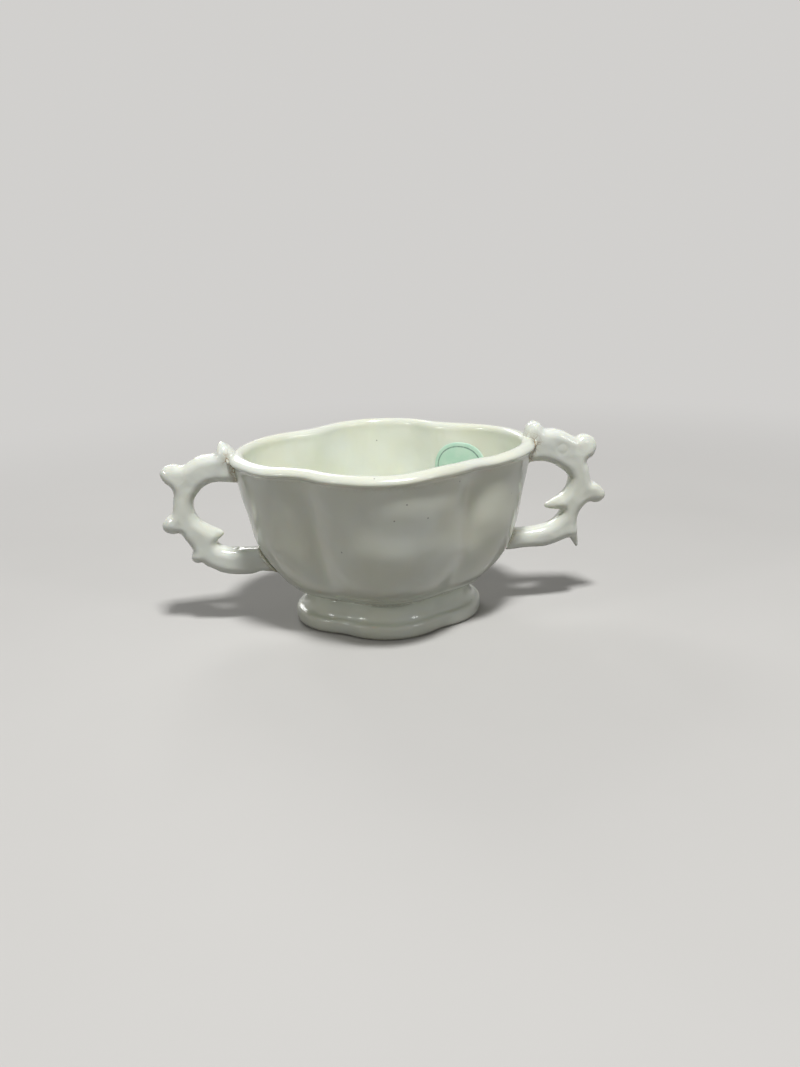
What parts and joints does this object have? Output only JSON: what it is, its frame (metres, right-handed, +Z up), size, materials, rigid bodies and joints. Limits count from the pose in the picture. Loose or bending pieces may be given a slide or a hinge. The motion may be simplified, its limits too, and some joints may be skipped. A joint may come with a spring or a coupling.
{
  "type": "porcelain cup",
  "caption": "Lobed white porcelain cup on a spreading foot ring, with a modelled scroll loop handle at each end, for holding a drink.",
  "frame": {"origin": "on the table, under the middle of the length over the handles", "axes": "+X along the length, towards the right handle as seen in the picture; +Z up; the broad side seen in the picture faces -Y"},
  "size_m": [0.1338, 0.081, 0.0566],
  "materials": {
    "porcelain": "glossy clear glaze on an ivory-white body",
    "dried_slip": "glazed clay paste, stained brown in the joints",
    "label_paper": "matt pale green paper"
  },
  "bodies": {
    "root": {"bowl": "porcelain", "foot_ring": "porcelain", "foot_slip": "dried_slip", "paper_label": "label_paper", "left_handle": "porcelain", "left_upper_slip": "dried_slip", "left_lower_slip": "dried_slip", "left_crest": "porcelain", "left_snout": "porcelain", "left_outer_knob": "porcelain", "left_inner_thorn": "porcelain", "left_lower_spur": "porcelain", "right_handle": "porcelain", "right_upper_slip": "dried_slip", "right_lower_slip": "dried_slip", "right_crest": "porcelain", "right_snout": "porcelain", "right_outer_knob": "porcelain", "right_inner_thorn": "porcelain", "right_lower_spur": "porcelain"}
  },
  "joints": []
}
